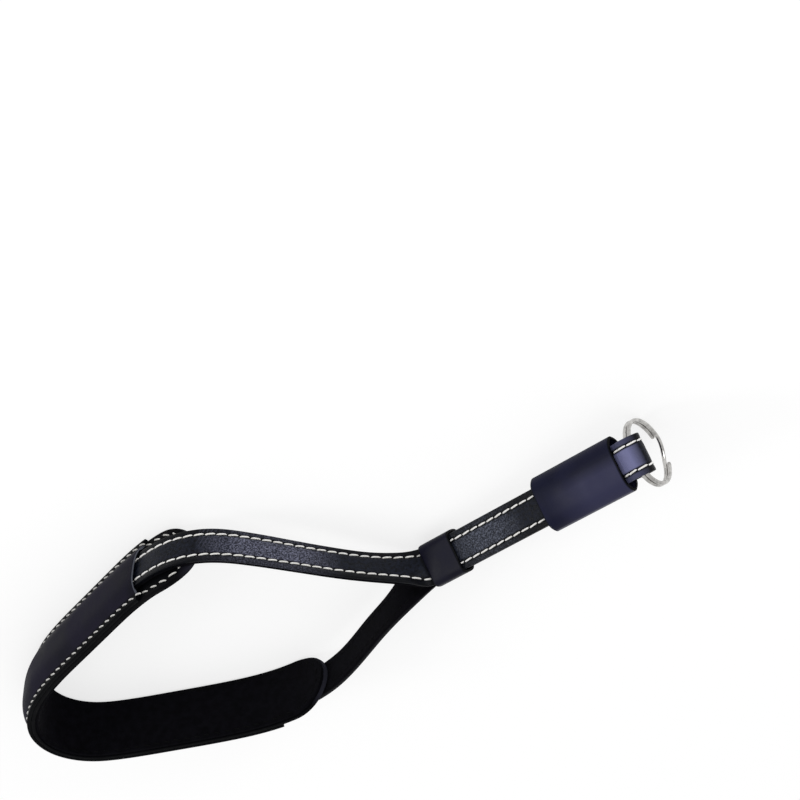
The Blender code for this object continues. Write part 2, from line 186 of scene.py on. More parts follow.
# Shares of the loop's length and breadth from the fork, share of the climb from
# the fork to the pad, lean in degrees
LOOP_LENGTH = 0.1327
LOOP_BREADTH = 0.0739
LOOP_ROUTE = [
    (-0.1063, -0.0298, 0.40, 12.0), (-0.2570, -0.0893, 0.70, 2.0), (-0.3888, -0.1380, 0.98, 0.0),
    (-0.4943, -0.1407, 1.00, 0.0), (-0.5923, -0.0974, 1.00, 0.0), (-0.6903, -0.0135, 1.00, 0.0),
    (-0.8086, 0.1137, 1.00, 0.0), (-0.9141, 0.2355, 1.00, 0.0), (-0.9744, 0.3356, 1.00, 0.0),
    (-1.0000, 0.4682, 1.00, 0.0), (-0.9789, 0.5981, 1.00, 0.0), (-0.9277, 0.6874, 1.00, 0.0),
    (-0.8613, 0.7442, 1.00, 0.0), (-0.7769, 0.7821, 1.00, 0.0), (-0.6601, 0.8106, 1.00, 0.0),
    (-0.5260, 0.8390, 1.00, 0.0), (-0.3964, 0.8593, 1.00, 0.0), (-0.3037, 0.8417, 1.00, 0.0),
    (-0.2359, 0.7740, 1.00, 0.0), (-0.1899, 0.6644, 1.00, 3.0), (-0.1575, 0.5332, 0.88, 6.0),
    (-0.1289, 0.4060, 0.75, 8.5), (-0.1047, 0.2923, 0.54, 10.0), (-0.0791, 0.1894, 0.33, 11.0),
    (-0.0482, 0.0893, 0.07, 5.0), (-0.0151, 0.0230, 0.00, -24.0),
]

joints = {joint["name"]: joint for joint in frame["record"]["behaviour"]["joints"]}
FOLD_CENTRE = Vector(joints["ring_swing"]["pos_m"])
TAIL_WIDTH = Vector(joints["ring_swing"]["axis"]).normalized()
TAIL_ALONG = Vector(joints["keeper_slide"]["axis"]).normalized()
TAIL_OUT = TAIL_WIDTH.cross(TAIL_ALONG)
SEAM_TO_FACE = SEAM_GAP / 2 + FACE_THICKNESS
SEAM_TO_SUEDE = SEAM_GAP / 2 + SUEDE_THICKNESS
LEG_OFFSET = SEAM_GAP / 2 + SEAM_TO_SUEDE
RING_BOW = RING_MEAN_RADIUS - math.sqrt(RING_MEAN_RADIUS ** 2 - (STRAP_WIDTH / 2) ** 2)
RING_COIL_PITCH = RING_WIRE + RING_COIL_GAP
FOLD_RADIUS = (
    math.hypot(RING_COIL_PITCH / 2, RING_BOW / 2) + RING_WIRE / 2 + RING_RUNNING_GAP + SEAM_TO_SUEDE
)


def tail_point(distance, offset):
    """Return a point so far back from the fold and so far out of the tail's middle."""
    return FOLD_CENTRE - TAIL_ALONG * distance + TAIL_OUT * offset


def leaned_up(along, lean):
    """Return the width direction: up, square to the strap's run, leaned over."""
    upright = (Vector((0, 0, 1)) - along.z * along).normalized()
    return upright * math.cos(lean) + upright.cross(along) * math.sin(lean)


def smooth_through(knots, start_slope, end_slope):
    """Return points on the smooth curve through the knots."""
    knots = np.array(knots)
    spans = np.linalg.norm(np.diff(knots[:, :3], axis=0), axis=1)
    system = np.zeros((len(knots), len(knots)))
    target = np.zeros(knots.shape)
    system[0, 0] = system[-1, -1] = 1.0
    target[0], target[-1] = start_slope, end_slope
    for i in range(1, len(knots) - 1):
        before, after = spans[i - 1], spans[i]
        system[i, i - 1:i + 2] = (after, 2 * (before + after), before)
        target[i] = 3 * (
            after * (knots[i] - knots[i - 1]) / before + before * (knots[i + 1] - knots[i]) / after
        )
    slopes = np.linalg.solve(system, target)
    for i in range(1, len(knots) - 1):
        level = (knots[i, 2:] == knots[i - 1, 2:]) | (knots[i, 2:] == knots[i + 1, 2:])
        slopes[i, 2:][level] = 0.0
    curve = []
    for i, span in enumerate(spans):
        for t in np.linspace(0, 1, max(2, round(span / ROUTE_SAMPLE)), endpoint=False):
            curve.append(
                (2 * t ** 3 - 3 * t ** 2 + 1) * knots[i] + (t ** 3 - 2 * t ** 2 + t) * span * slopes[i]
                + (3 * t ** 2 - 2 * t ** 3) * knots[i + 1] + (t ** 3 - t ** 2) * span * slopes[i + 1]
            )
    curve.append(knots[-1])
    return curve


def loop_run():
    """Return the loop's points and width directions, from far leg to near leg."""
    far_fork = tail_point(FORK_DISTANCE, -LEG_OFFSET)
    near_fork = tail_point(FORK_DISTANCE, LEG_OFFSET)
    fork = tail_point(FORK_DISTANCE, 0.0)
    knots = [(*far_fork, -TAIL_LEAN)]
    for i, (length_share, breadth_share, climb, lean) in enumerate(LOOP_ROUTE):
        start = far_fork if i < len(LOOP_ROUTE) / 2 else near_fork
        x = fork.x + length_share * LOOP_LENGTH
        y = fork.y + breadth_share * LOOP_BREADTH
        height = start.z + climb * (PAD_WIDTH / 2 - start.z)
        knots.append((x, y, height, math.radians(lean)))
    knots.append((*near_fork, TAIL_LEAN))
    curve = smooth_through(knots, (*-TAIL_ALONG, 0.0), (*TAIL_ALONG, 0.0))
    points = [Vector(knot[:3]) for knot in curve]
    widths = []
    for i, knot in enumerate(curve):
        ahead = points[min(i + 1, len(points) - 1)] - points[max(i - 1, 0)]
        widths.append(leaned_up(ahead.normalized(), knot[3]))
    return points, widths


def arc_run(centre, radius, start, end):
    """Return (along, out) points on an arc in the tail's side view."""
    count = max(4, round(abs(end - start) * radius / ROUTE_SAMPLE))
    angles = [start + (end - start) * i / count for i in range(count + 1)]
    return [(centre[0] + radius * math.cos(a), centre[1] + radius * math.sin(a)) for a in angles]


def straight_run(start, end, offset):
    """Return evenly spaced points along the tail."""
    count = max(2, round(abs(end - start) / ROUTE_SAMPLE))
    return [tail_point(start + (end - start) * i / count, offset) for i in range(count + 1)]


rise = LEG_OFFSET + NECK_RADIUS
neck_distance = math.sqrt((FOLD_RADIUS + NECK_RADIUS) ** 2 - rise ** 2)
neck_turn = math.atan2(neck_distance, rise)
neck = arc_run((-neck_distance, rise), NECK_RADIUS, -math.pi / 2, neck_turn - math.pi / 2)
drop = arc_run((0.0, 0.0), FOLD_RADIUS, math.pi / 2 + neck_turn, -math.pi / 2 - neck_turn)
fold_outline = neck[:-1] + drop + [(x, -offset) for x, offset in reversed(neck)][1:]
loop_points, loop_widths = loop_run()
far_run = straight_run(BUTT_DISTANCE + BUTT_GAP / 2, FORK_DISTANCE, -LEG_OFFSET)[:-1]
route_points = far_run + loop_points + straight_run(FORK_DISTANCE, neck_distance, LEG_OFFSET)[1:-1]
route_points += [tail_point(-x, offset) for x, offset in fold_outline]
route_points += straight_run(neck_distance, BUTT_DISTANCE - BUTT_GAP / 2, -LEG_OFFSET)[1:]
route_widths = [TAIL_WIDTH] * len(far_run) + loop_widths
route_widths += [TAIL_WIDTH] * (len(route_points) - len(route_widths))

ROUTE = np.array(route_points)
ROUTE_WIDTH = np.array(route_widths)
ROUTE_DISTANCE = np.concatenate(([0.0], np.cumsum(np.linalg.norm(np.diff(ROUTE, axis=0), axis=1))))
ROUTE_LENGTH = ROUTE_DISTANCE[-1]
LOOP_START = FORK_DISTANCE - BUTT_DISTANCE - BUTT_GAP / 2
LOOP_END = ROUTE_DISTANCE[len(far_run) + len(loop_points) - 1]


def unit(vectors):
    """Return each row at length one."""
    return vectors / np.linalg.norm(vectors, axis=-1, keepdims=True)


def blended(values, distances):
    """Read a row of vectors at distances along the route."""
    return np.stack([np.interp(distances, ROUTE_DISTANCE, values[:, k]) for k in range(3)], axis=-1)


def route_places(distances, across, out):
    """Return points at distances along, across and out of the strap's seam."""
    distances = np.clip(np.asarray(distances, dtype=float), 0.0, ROUTE_LENGTH)
    here = blended(ROUTE, distances)
    ahead = blended(ROUTE, np.minimum(distances + ROUTE_SAMPLE, ROUTE_LENGTH))
    behind = blended(ROUTE, np.maximum(distances - ROUTE_SAMPLE, 0.0))
    along = unit(ahead - behind)
    width = blended(ROUTE_WIDTH, distances)
    width = unit(width - np.sum(width * along, axis=-1, keepdims=True) * along)
    outward = np.cross(width, along)
    return here + width * np.asarray(across)[..., None] + outward * np.asarray(out)[..., None], outward


def skin_grid(name, places, marks, closed=False):
    """Skin a grid of points, section by section, and keep a mark on each point.

    The mark holds where the point lies on the leather: across, along, out.
    """
    rows, sides = places.shape[:2]
    faces = []
    for i in range(rows if closed else rows - 1):
        here, there = i * sides, (i + 1) % rows * sides
        for j in range(sides):
            k = (j + 1) % sides
            faces.append((here + j, here + k, there + k, there + j))
    if not closed:
        faces.append(tuple(reversed(range(sides))))
        faces.append(tuple(range((rows - 1) * sides, rows * sides)))
    mesh = bpy.data.meshes.new(name)
    mesh.from_pydata([tuple(place) for place in places.reshape(-1, 3)], [], faces)
    ring_middle = places[rows // 2].mean(axis=0)
    first = mesh.polygons[(rows // 2) * sides]
    if Vector(first.normal).dot(Vector(first.center) - Vector(ring_middle)) < 0:
        mesh.flip_normals()
    mark = mesh.attributes.new("leather_place", "FLOAT_VECTOR", "POINT")
    mark.data.foreach_set("vector", np.asarray(marks, dtype=np.float32).reshape(-1))
    mesh.shade_smooth()
    mesh.set_sharp_from_angle(angle=SHARP_ANGLE)
    return add_object(name, mesh)


# Strap face: black dress leather with a fine print grain and a low gloss. It is
# sewn to the suede along both edges, and the thread pulls a groove into it.
STITCH_ROW = 0.00345
STITCH_PITCH = 0.0032
GROOVE_DEPTH = 0.00018
GROOVE_HALF_WIDTH = 0.00055
HOLE_DEPTH = 0.00012
HOLE_HALF_LENGTH = 0.0004
FACE_EDGE_ROUND = 0.00030
SEAM_EASE = 0.00008
FACE_STEP = 0.00045
FACE_ACROSS = [0.0, 0.0012, 0.0022, 0.0028, 0.0031, 0.00345, 0.0038, 0.0041, 0.0046, 0.0050]


def rounded_corner(half, high, radius, steps=3):
    """Return points round an outer corner, from the top to the side."""
    angles = [math.pi / 2 * (1 - i / steps) for i in range(steps + 1)]
    return [(half - radius + radius * math.cos(a), high - radius + radius * math.sin(a)) for a in angles]


def mirrored_section(right_side):
    """Close a section from its right half, which runs from top middle to foot middle."""
    left_side = [(-across, out) for across, out in reversed(right_side[1:-1])]
    return np.array(right_side + left_side)


def stitch_pull(across, along):
    """Return how deep the thread pulls the leather in at each point."""
    off_row = np.exp(-((np.abs(across) - STITCH_ROW) / GROOVE_HALF_WIDTH) ** 2)
    off_hole = np.abs((along / STITCH_PITCH + 0.5) % 1.0 - 0.5) * STITCH_PITCH
    return off_row * (GROOVE_DEPTH + HOLE_DEPTH * np.exp(-(off_hole / HOLE_HALF_LENGTH) ** 2))


def section_grid(distances, section):
    """Repeat a section at distances along the route, as grids of across, along and out."""
    across, along = np.meshgrid(section[:, 0], distances)
    out, _ = np.meshgrid(section[:, 1], distances)
    return across, along, out


def sweep_leather(name, distances, section, pull=None, widths=None):
    """Sweep a section along the route, with the thread's pull on its top."""
    across, along, out = section_grid(distances, section)
    if widths is not None:
        across = across * widths[:, None]
    if pull is not None:
        top = section[None, :, 1] > section[:, 1].max() - FACE_EDGE_ROUND
        out = out - np.where(top, pull(across, along), 0.0)
    places, _ = route_places(along, across, out)
    return skin_grid(name, places, np.stack([across, along, out], axis=-1))


face_half = [(across, SEAM_TO_FACE) for across in FACE_ACROSS]
face_half += rounded_corner(STRAP_WIDTH / 2, SEAM_TO_FACE, FACE_EDGE_ROUND)
face_half += [(STRAP_WIDTH / 2, SEAM_TO_FACE / 3), (STRAP_WIDTH / 2 - SEAM_EASE, 0.0), (0.0, 0.0)]
strap_stations = np.linspace(0.0, ROUTE_LENGTH, round(ROUTE_LENGTH / FACE_STEP))
strap_leather = sweep_leather(
    "strap_face_leather", strap_stations, mirrored_section(face_half), pull=stitch_pull,
)


def start_finish(name, colour, roughness, specular, metallic=0.0):
    """Return a new material, its tree, its shader with plain values, and the place on the object."""
    finish = bpy.data.materials.new(name)
    finish.use_nodes = True
    tree = finish.node_tree
    shader = tree.nodes["Principled BSDF"]
    shader.inputs["Base Color"].default_value = (*colour, 1.0)
    shader.inputs["Roughness"].default_value = roughness
    shader.inputs["Metallic"].default_value = metallic
    shader.inputs["Specular IOR Level"].default_value = specular
    return finish, tree, shader, add_node(tree, "ShaderNodeTexCoord").outputs["Object"]


def link_shader(tree, shader, colour, normal, roughness=None):
    """Link a shader's colour, its normal and, where it varies, its roughness."""
    tree.links.new(colour, shader.inputs["Base Color"])
    tree.links.new(normal, shader.inputs["Normal"])
    if roughness is not None:
        tree.links.new(roughness, shader.inputs["Roughness"])


def add_noise(tree, place, scale, detail, **settings):
    """Add a noise over a place and return its value."""
    noise = add_node(tree, "ShaderNodeTexNoise", Vector=place, Scale=scale, Detail=detail, **settings)
    return noise.outputs["Fac"]


def add_bump(tree, height, distance, strength=1.0, **under):
    """Add a bump, over another one's Normal where it is given, and return its normal."""
    bump = add_node(tree, "ShaderNodeBump", Height=height, Distance=distance, Strength=strength, **under)
    return bump.outputs["Normal"]


def mottled(tree, place, scale, dark, light, low=0.35, high=0.65, detail=3.0):
    """Return a colour that wanders between two tones, and the value behind it."""
    cloud = add_noise(tree, place, scale, detail)
    ramp = add_node(tree, "ShaderNodeValToRGB", Fac=cloud)
    ramp.color_ramp.elements[0].position = low
    ramp.color_ramp.elements[1].position = high
    ramp.color_ramp.elements[0].color = (*dark, 1.0)
    ramp.color_ramp.elements[1].color = (*light, 1.0)
    return ramp.outputs["Color"], cloud


def spread(tree, value, low, high, start=0.0, end=1.0):
    """Map a value from one range to another."""
    mapped = add_node(
        tree, "ShaderNodeMapRange", Value=value, From_Min=start, From_Max=end, To_Min=low, To_Max=high,
    )
    return mapped.outputs["Result"]


def off_place(tree, value, middle):
    """Return how far a value lies from a place."""
    return add_math(tree, "ABSOLUTE", add_math(tree, "SUBTRACT", value, middle))


def mixed_in(tree, colour, amount, tone):
    """Mix a tone into a colour by an amount."""
    mix = add_node(tree, "ShaderNodeMix", data_type="RGBA", Factor=amount, A=colour, B=(*tone, 1.0))
    return mix.outputs["Result"]


def marked_place(tree):
    """Return the across, along and out sockets of the mark on the leather."""
    mark = add_node(tree, "ShaderNodeAttribute", attribute_name="leather_place").outputs["Vector"]
    return add_node(tree, "ShaderNodeSeparateXYZ", Vector=mark).outputs


WAVE_SCALE = 55.0
PORES_PER_PEBBLE = 2.6


def leather_finish(
    name, dark, light, roughness, specular, grain, grain_depth, wave_depth=0.0, dye_and_painted_light=None, cloud_scale=260.0,
):
    """Make a grained leather: pebbles, pores, a slow wave, uneven gloss, and marks of dye and painted light.
    """
    finish, tree, shader, place = start_finish(name, dark, roughness, specular)
    colour, cloud = mottled(tree, place, cloud_scale, dark, light)
    pebbles = add_node(tree, "ShaderNodeTexVoronoi", Vector=place, Scale=1.0 / grain, Randomness=1.0)
    pores = add_noise(tree, place, PORES_PER_PEBBLE / grain, 4.0)
    rough = add_math(
        tree, "ADD", spread(tree, cloud, roughness - 0.08, roughness + 0.10, 0.3, 0.7),
        spread(tree, pores, -0.06, 0.06, 0.3, 0.7),
    )
    relief = add_math(
        tree, "ADD", add_math(tree, "MULTIPLY", pebbles.outputs["Distance"], -1.0),
        add_math(tree, "MULTIPLY", pores, 0.6),
    )
    wave = add_bump(tree, add_noise(tree, place, WAVE_SCALE, 1.0), wave_depth)
    # The marks may hold painted highlights and painted shade besides dye.
    if dye_and_painted_light is not None:
        colour = dye_and_painted_light(tree, colour)
    link_shader(tree, shader, colour, add_bump(tree, relief, grain_depth, Normal=wave), rough)
    return finish


STRAP_DARK = (0.0014, 0.0020, 0.0038)
STRAP_LIGHT = (0.0085, 0.0105, 0.0190)
# Black edge dye, also used as painted shade in the stitch grooves and over the pad base.
DYE_AND_SHADE_TONE = (0.0016, 0.0017, 0.0024)
GRAIN_TOPS_SCALE = 2400.0
FOLD_DISTANCE = LOOP_END + FORK_DISTANCE

# Painted highlights on the ridges of creases across the strap where it bends into the pad; the shape itself
# has no creases
CREASE_HIGHLIGHT_TONE = (0.050, 0.052, 0.078)
CREASE_PLACE = LOOP_END - 0.0639
CREASE_PITCH = 0.0011
CREASE_SLANT = 0.45

# Distances between which an effect starts and is full, or is full and fades out
DYED_SIDE = (0.0038, 0.0044)
SHEEN_SIDE = (0.0026, 0.0040)
CREASE_REACH = (0.0014, 0.0034)
CREASE_SIDE = (0.0002, 0.0016)
GROOVE_SHADE_REACH = (0.00040, 0.00080)

# Places along the strap where highlights are painted paler: middle, half-length in full and
# to where it fades out, tone, and whether the highlight lies only on the tops of the grain
SHEEN_PLACES = [
    (FOLD_DISTANCE - 0.0022, 0.0034, 0.0060, (0.155, 0.160, 0.290), False),
    (LOOP_END - 0.0465, 0.0080, 0.0210, (0.160, 0.165, 0.230), True),
    (LOOP_END + 0.0235, 0.0040, 0.0150, (0.100, 0.110, 0.147), True),
]


def strap_dye_and_painted_light(tree, colour):
    """Dye the edges, paint highlights at some places and on the creases, and paint shade into the grooves of
    the stitches.
    """
    across, along, _ = marked_place(tree)
    side = add_math(tree, "ABSOLUTE", across)
    place = add_node(tree, "ShaderNodeTexCoord").outputs["Object"]
    speckle = spread(tree, add_noise(tree, place, GRAIN_TOPS_SCALE, 2.0), 0.08, 1.0, 0.42, 0.66)
    colour = mixed_in(tree, colour, spread(tree, side, 0.0, 0.8, *DYED_SIDE), DYE_AND_SHADE_TONE)
    # Painted highlights: each place is mixed paler, most in the strap's middle, and where marked only on the
    # grain's tops.
    for middle, full, faded, tone, tops_only in SHEEN_PLACES:
        amount = add_math(
            tree, "MULTIPLY", spread(tree, off_place(tree, along, middle), 1.0, 0.0, full, faded),
            spread(tree, side, 1.0, 0.35, *SHEEN_SIDE),
        )
        if tops_only:
            amount = add_math(tree, "MULTIPLY", amount, speckle)
        colour = mixed_in(tree, colour, amount, tone)
    # Painted highlights: pale stripes on the crease ridges, mostly on one half of the strap's width.
    slanted = add_math(tree, "MULTIPLY_ADD", across, CREASE_SLANT, along)
    wrinkle = add_math(tree, "SINE", add_math(tree, "MULTIPLY", slanted, 2 * math.pi / CREASE_PITCH))
    crease_highlight = add_math(
        tree, "MULTIPLY", spread(tree, wrinkle, 0.0, 0.7, 0.55, 0.95),
        spread(tree, off_place(tree, along, CREASE_PLACE), 1.0, 0.0, *CREASE_REACH),
    )
    crease_highlight = add_math(tree, "MULTIPLY", crease_highlight, spread(tree, across, 1.0, 0.0, *CREASE_SIDE))
    colour = mixed_in(tree, colour, crease_highlight, CREASE_HIGHLIGHT_TONE)
    # Painted shade: the grooves of the stitch rows are darkened.
    groove = spread(tree, off_place(tree, side, STITCH_ROW), 1.0, 0.0, *GROOVE_SHADE_REACH)
    return mixed_in(tree, colour, groove, DYE_AND_SHADE_TONE)


strap_finish = leather_finish(
    "strap_leather_finish", STRAP_DARK, STRAP_LIGHT, roughness=0.36, specular=0.08, grain=0.00042,
    grain_depth=0.00007, wave_depth=0.0012, dye_and_painted_light=strap_dye_and_painted_light, cloud_scale=1100.0,
)
strap_leather.data.materials.append(strap_finish)
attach(strap_leather, "strap")
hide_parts("strap_face")


# Strap lining: black suede with a short nap, sewn flesh side out to the back of
# the dress leather. It faces the wrist and the other leg of the tail.
SUEDE_DARK = (0.0010, 0.0009, 0.0015)
SUEDE_LIGHT = (0.0028, 0.0026, 0.0040)
SUEDE_SHEEN = (0.35, 0.35, 0.40, 1.0)
NAP_DEPTH = 0.00008

lining_corner = rounded_corner(STRAP_WIDTH / 2, SEAM_TO_SUEDE, 0.0002)
lining_half = [(across, 0.0) for across in (0.0, 0.0025, 0.0050)]
lining_half += [(STRAP_WIDTH / 2 - SEAM_EASE, 0.0), (STRAP_WIDTH / 2, -0.0001)]
lining_half += [(across, -out) for across, out in reversed(lining_corner)]
lining_half += [(across, -SEAM_TO_SUEDE) for across in (0.0045, 0.0038, 0.00345, 0.0031, 0.0022, 0.0)]
strap_suede = sweep_leather("strap_lining_suede", strap_stations, mirrored_section(lining_half))

suede, tree, shader, place = start_finish("black_suede", SUEDE_DARK, roughness=0.96, specular=0.03)
shader.inputs["Sheen Weight"].default_value = 0.03
shader.inputs["Sheen Roughness"].default_value = 0.5
shader.inputs["Sheen Tint"].default_value = SUEDE_SHEEN
suede_colour, cloud = mottled(tree, place, 420.0, SUEDE_DARK, SUEDE_LIGHT, detail=5.0)
nap = add_bump(tree, add_noise(tree, place, 5200.0, 5.0, Roughness=0.7), NAP_DEPTH)
link_shader(tree, shader, suede_colour, nap, spread(tree, cloud, 0.90, 1.0, 0.3, 0.7))
strap_suede.data.materials.append(suede)
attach(strap_suede, "strap")
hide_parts("strap_lining")


# Edge stitching: cream waxed thread in a lockstitch, with each stitch lying in
# the groove and diving into its holes. The thread on the suede side is black.
THREAD_THICKNESS = 0.00052
THREAD_SIDES = 8
THREAD_TAPER = 0.30
STRAND_POINTS = 9
STITCH_LENGTH = 0.0027
STITCH_SLANT = math.radians(5.0)
STITCH_UNEVEN = 0.05
STITCH_SEED = 7
STITCH_SINK = 0.00030
ROW_SAMPLE = 0.0008
PLY_LENGTH = 0.0011
PLY_DEPTH = 0.00007


def start_tree(name, guide, numbers, paint, made):
    """Return a new tree with named inputs and one output, and its inputs."""
    tree = bpy.data.node_groups.new(name, "GeometryNodeTree")
    kinds = [(guide, "Geometry")] + [(number, "Float") for number in numbers] + [(paint, "Material")]
    for socket, kind in kinds:
        tree.interface.new_socket(socket, in_out="INPUT", socket_type="NodeSocket" + kind)
    tree.interface.new_socket(made, in_out="OUTPUT", socket_type="NodeSocketGeometry")
    return tree, tree.nodes.new("NodeGroupInput").outputs


def add_vector(tree, **parts):
    """Add a vector made of the given parts and return it."""
    return add_node(tree, "ShaderNodeCombineXYZ", **parts).outputs[0]


def store_mark(tree, name, geometry, value):
    """Store a value on each point under a name, and return the marked geometry."""
    return add_node(
        tree, "GeometryNodeStoreNamedAttribute", data_type="FLOAT", domain="POINT", Geometry=geometry,
        Name=name, Value=value,
    ).outputs[0]


def swept(tree, curve, section, scale):
    """Sweep a section along a curve, scaled from point to point, and cap both ends."""
    return add_node(
        tree, "GeometryNodeCurveToMesh", Curve=curve, Profile_Curve=section, Scale=scale, Fill_Caps=True,
    ).outputs[0]


def round_section(tree, thickness, sides):
    """Return a round section of a thickness."""
    radius = add_math(tree, "MULTIPLY", thickness, 0.5)
    return add_node(tree, "GeometryNodeCurvePrimitiveCircle", Resolution=sides, Radius=radius).outputs[0]


def hand_out(tree, geometry, paint):
    """Paint the geometry and make it the tree's result."""
    painted = add_node(tree, "GeometryNodeSetMaterial", Geometry=geometry, Material=paint)
    tree.links.new(painted.outputs[0], tree.nodes.new("NodeGroupOutput").inputs[0])


def stitching_tree():
    """Build the tree that lays stitches along a row, standing on its outward side."""
    numbers = ("Stitch pitch", "Stitch length", "Thread thickness", "Slant", "Sink")
    tree, row = start_tree("stitching", "Row", numbers, "Thread", "Stitches")
    half = add_math(tree, "MULTIPLY", row["Stitch length"], 0.5)
    strand = add_node(
        tree, "GeometryNodeCurvePrimitiveLine", End=add_vector(tree, X=half),
        Start=add_vector(tree, X=add_math(tree, "MULTIPLY", half, -1.0)),
    )
    strand_points = add_node(tree, "GeometryNodeResampleCurve", Curve=strand.outputs[0], Count=STRAND_POINTS)
    share = add_node(tree, "GeometryNodeSplineParameter").outputs["Factor"]
    end_share = add_math(tree, "ABSOLUTE", add_math(tree, "MULTIPLY_ADD", share, 2.0, -1.0))
    dive = add_math(tree, "POWER", end_share, 4.0)
    sunk = add_math(tree, "MULTIPLY", add_math(tree, "MULTIPLY", dive, row["Sink"]), -1.0)
    laid = add_node(
        tree, "GeometryNodeSetPosition", Geometry=strand_points.outputs[0], Offset=add_vector(tree, Z=sunk),
    )
    along_strand = add_math(tree, "MULTIPLY", share, row["Stitch length"])
    section = round_section(tree, row["Thread thickness"], THREAD_SIDES)
    thread_body = swept(
        tree, store_mark(tree, "thread_length", laid.outputs[0], along_strand),
        store_mark(tree, "thread_round", section, share),
        add_math(tree, "MULTIPLY_ADD", dive, -THREAD_TAPER, 1.0),
    )

    row_curve = add_node(tree, "GeometryNodeMeshToCurve", Mesh=row["Row"]).outputs[0]
    holes = add_node(
        tree, "GeometryNodeResampleCurve", mode="LENGTH", Curve=row_curve, Length=row["Stitch pitch"],
    )
    outward = add_node(tree, "GeometryNodeInputNamedAttribute", data_type="FLOAT_VECTOR", Name="outward")
    facing = add_node(
        tree, "FunctionNodeAxesToRotation", primary_axis="X", secondary_axis="Z",
        Primary_Axis=add_node(tree, "GeometryNodeInputTangent").outputs[0],
        Secondary_Axis=outward.outputs["Attribute"],
    )
    uneven = add_node(tree, "FunctionNodeRandomValue", data_type="FLOAT", Seed=STITCH_SEED)
    uneven.inputs[2].default_value = -STITCH_UNEVEN
    uneven.inputs[3].default_value = STITCH_UNEVEN
    slant = add_vector(tree, Z=add_math(tree, "ADD", row["Slant"], uneven.outputs[1]))
    turned = add_node(
        tree, "FunctionNodeRotateRotation", rotation_space="LOCAL", Rotation=facing.outputs[0],
        Rotate_By=add_node(tree, "FunctionNodeEulerToRotation", Euler=slant).outputs[0],
    )
    stitches = add_node(
        tree, "GeometryNodeInstanceOnPoints", Points=holes.outputs[0], Instance=thread_body,
        Rotation=turned.outputs[0],
    )
    real = add_node(tree, "GeometryNodeRealizeInstances", Geometry=stitches.outputs[0])
    smooth = add_node(tree, "GeometryNodeSetShadeSmooth", Geometry=real.outputs[0])
    hand_out(tree, smooth.outputs[0], row["Thread"])
    return tree


STITCHING = stitching_tree()


def apply_tree(guide, tree, values):
    """Run a tree on a guide, remove the guide and return the plain mesh that was made."""
    modifier = guide.modifiers.new("rule", "NODES")
    modifier.node_group = tree
    sockets = {item.name: item.identifier for item in tree.interface.items_tree if item.in_out == "INPUT"}
    for name, value in values.items():
        modifier[sockets[name]] = value
    bpy.context.view_layer.update()
    seen = guide.evaluated_get(bpy.context.evaluated_depsgraph_get())
    mesh = bpy.data.meshes.new_from_object(seen)
    bpy.data.objects.remove(guide)
    return mesh


def sew(name, rows, thread, length=STITCH_LENGTH, slant=STITCH_SLANT):
    """Sew rows of stitches: each row is its points and the way out at each."""
    guide_mesh = bpy.data.meshes.new(name + "_guide")
    points, edges, outwards = [], [], []
    for row_points, row_outwards in rows:
        first = len(points)
        points += [tuple(point) for point in row_points]
        outwards += [tuple(outward) for outward in row_outwards]
        edges += [(first + i, first + i + 1) for i in range(len(row_points) - 1)]
    guide_mesh.from_pydata(points, edges, [])
    way_out = guide_mesh.attributes.new("outward", "FLOAT_VECTOR", "POINT")
    way_out.data.foreach_set("vector", np.asarray(outwards, dtype=np.float32).reshape(-1))
    mesh = apply_tree(add_object(name + "_guide", guide_mesh), STITCHING, {
        "Stitch pitch": STITCH_PITCH, "Stitch length": length, "Thread thickness": THREAD_THICKNESS,
        "Slant": slant, "Sink": STITCH_SINK, "Thread": thread,
    })
    mesh.name = name
    return add_object(name, mesh)


def thread_finish(name, dark, light, roughness, specular=0.30):
    """Make waxed thread: plies twisted round it, and an uneven tone."""
    finish, tree, shader, place = start_finish(name, light, roughness, specular)
    colour, _ = mottled(tree, place, 900.0, dark, light, low=0.25, high=0.60)
    lengthwise = add_node(tree, "ShaderNodeAttribute", attribute_name="thread_length").outputs["Fac"]
    roundwise = add_node(tree, "ShaderNodeAttribute", attribute_name="thread_round").outputs["Fac"]
    lay = add_math(
        tree, "ADD", add_math(tree, "MULTIPLY", lengthwise, 2 * math.pi / PLY_LENGTH),
        add_math(tree, "MULTIPLY", roundwise, 6 * math.pi),
    )
    plies = add_math(tree, "ABSOLUTE", add_math(tree, "SINE", lay))
    link_shader(tree, shader, colour, add_bump(tree, plies, PLY_DEPTH, strength=0.8))
    return finish


cream_thread = thread_finish("cream_thread", (0.80, 0.78, 0.74), (0.95, 0.94, 0.92), roughness=0.62)
black_thread = thread_finish(
    "black_thread", (0.0012, 0.0012, 0.0015), (0.003, 0.003, 0.0035), roughness=0.9, specular=0.05,
)


def edge_rows(across, out, start, end, outward_sign=1.0):
    """Return a row near each edge of the strap or pad, between two distances."""
    distances = np.linspace(start, end, round((end - start) / ROW_SAMPLE))
    rows = []
    for side in (-1, 1):
        row_points, outward = route_places(
            distances, np.full(len(distances), side * across), np.full(len(distances), out),
        )
        rows.append((row_points, outward * outward_sign))
    return rows


row_start, row_end = STITCH_PITCH / 2, ROUTE_LENGTH - STITCH_PITCH / 2
row_level = SEAM_TO_FACE - GROOVE_DEPTH + THREAD_THICKNESS * 0.22
strap_rows = edge_rows(STITCH_ROW, row_level, row_start, row_end)
strap_stitches = sew("strap_stitches", strap_rows, cream_thread)
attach(strap_stitches, "strap")
under_level = -SEAM_TO_SUEDE + THREAD_THICKNESS * 0.20
under_rows = edge_rows(STITCH_ROW, under_level, row_start, row_end, -1.0)
under_stitches = sew("strap_under_stitches", under_rows, black_thread)
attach(under_stitches, "strap")


